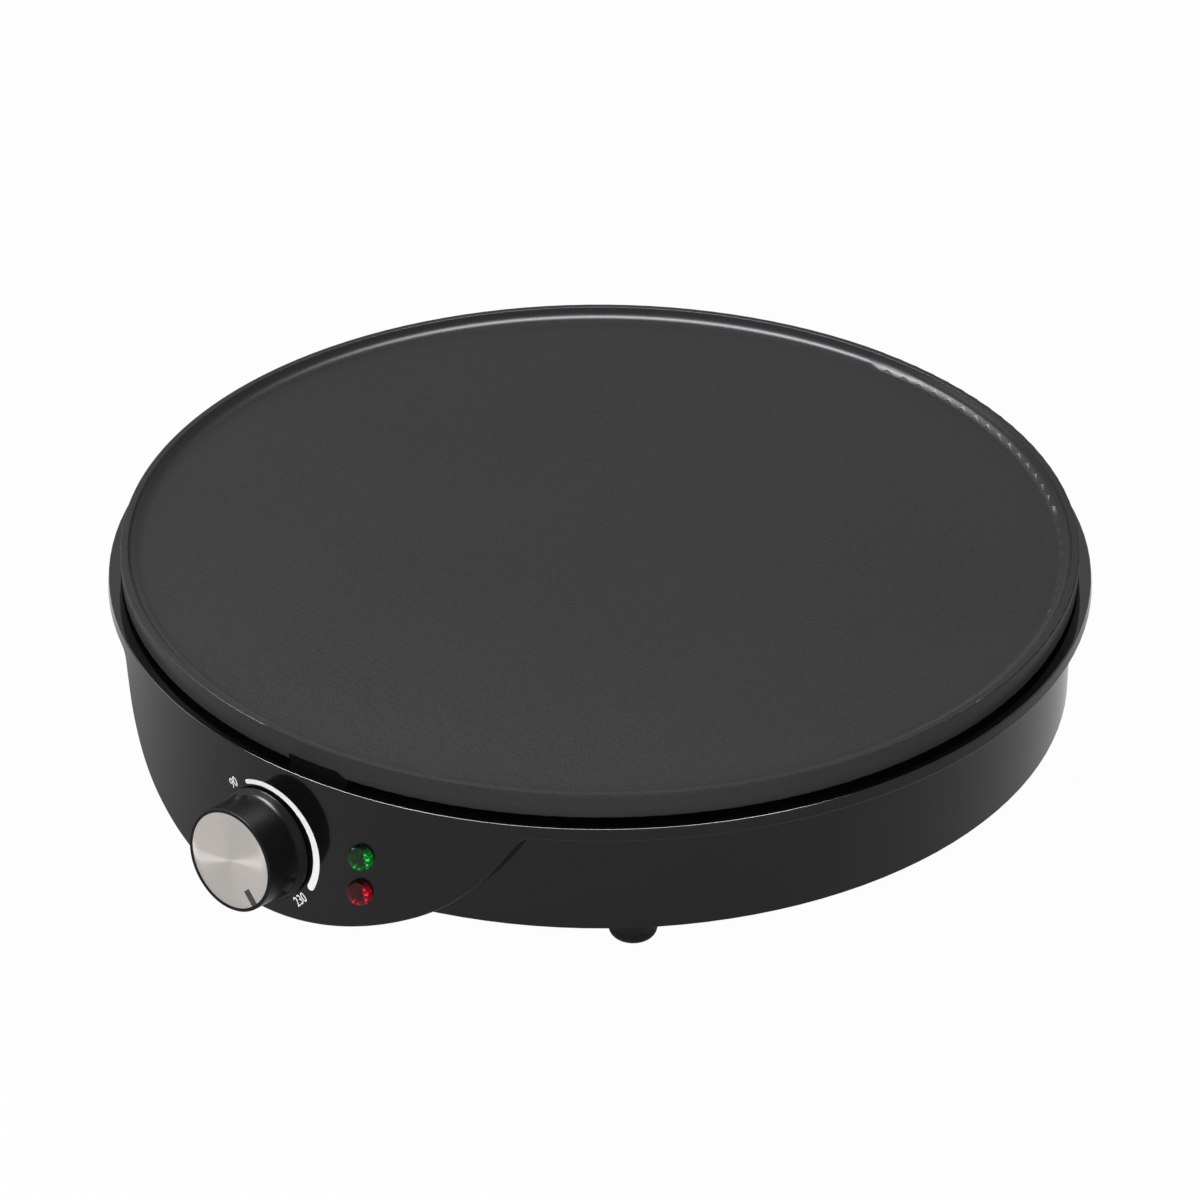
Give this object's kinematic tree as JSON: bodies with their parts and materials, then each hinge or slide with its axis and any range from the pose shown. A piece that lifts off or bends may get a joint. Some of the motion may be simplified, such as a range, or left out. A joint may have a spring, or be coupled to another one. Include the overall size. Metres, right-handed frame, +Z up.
{
  "type": "electric crepe maker",
  "caption": "Round electric crepe maker: flat rimmed griddle plate on a black base, with a hanging front panel, a turning knob and two indicator lamps.",
  "frame": {"origin": "on the table, under the middle of the round plate", "axes": "+Z up, -Y towards the user and the control panel, +X to the user's right"},
  "size_m": [0.3304, 0.3508, 0.0736],
  "materials": {
    "nonstick": "matt black non-stick coating on cast aluminium",
    "housing_plastic": "semi-gloss black moulded plastic",
    "knob_plastic": "satin black moulded plastic",
    "cover_plastic": "textured black moulded plastic",
    "spun_aluminium": "spun brushed disc",
    "white_print": "printed white ink",
    "green_lens": "clear green moulded lens",
    "red_lens": "clear red moulded lens",
    "rubber": "black rubber",
    "element_steel": "heat-tinted steel tube",
    "steel": "zinc-plated steel",
    "ceramic": "white steatite",
    "brass": "turned brass",
    "copper_tube": "drawn copper tube",
    "lamp_glass": "clear glass",
    "white_plastic": "heat-resistant white plastic",
    "red_sleeve": "silicone insulation, red",
    "blue_sleeve": "silicone insulation, blue",
    "white_sleeve": "glass-fibre insulation, white",
    "earth_sleeve": "silicone insulation, green and yellow"
  },
  "bodies": {
    "base": {"base_housing": "housing_plastic", "bottom_cover": "cover_plastic", "bush_nut": "brass", "capillary_tube": "copper_tube", "clamp_screws": "steel", "cord_clamp": "cover_plastic", "cord_gland": "rubber", "cover_screws": "steel", "dial_arc": "white_print", "earth_screw": "brass", "earth_wire": "earth_sleeve", "element_pins": "steel", "element_seals": "ceramic", "element_straps": "steel", "element_wire": "white_sleeve", "fuse_wire": "white_sleeve", "green_lamp": "lamp_glass", "green_lens": "green_lens", "griddle_plate": "nonstick", "heat_reflector": "steel", "heating_element": "element_steel", "lamp_holder": "white_plastic", "lamp_wires": "white_sleeve", "leg_posts": "cover_plastic", "leg_screws": "steel", "live_wire": "red_sleeve", "neutral_wire": "blue_sleeve", "plate_screws": "steel", "plate_spacers": "ceramic", "red_lamp": "lamp_glass", "red_lens": "red_lens", "reflector_screws": "steel", "rubber_feet": "rubber", "sensor_bulb": "copper_tube", "sensor_strap": "steel", "sensor_strap_screw": "steel", "strap_screws": "steel", "terminal_block": "white_plastic", "terminal_screws": "brass", "thermal_fuse": "white_sleeve", "thermostat_body": "white_plastic", "thermostat_bush": "brass", "thermostat_tabs": "brass"},
    "knob": {"knob_body": "knob_plastic", "knob_cap": "spun_aluminium", "knob_pointer": "knob_plastic", "knob_clip": "steel", "thermostat_shaft": "steel"}
  },
  "joints": [
    {"name": "knob_turn", "type": "hinge", "parent": "base", "child": "knob", "pos_m": [0, -0.16784, 0.03505], "axis": [0, -0.9945, 0.1045], "range_deg": [0, 178]}
  ]
}
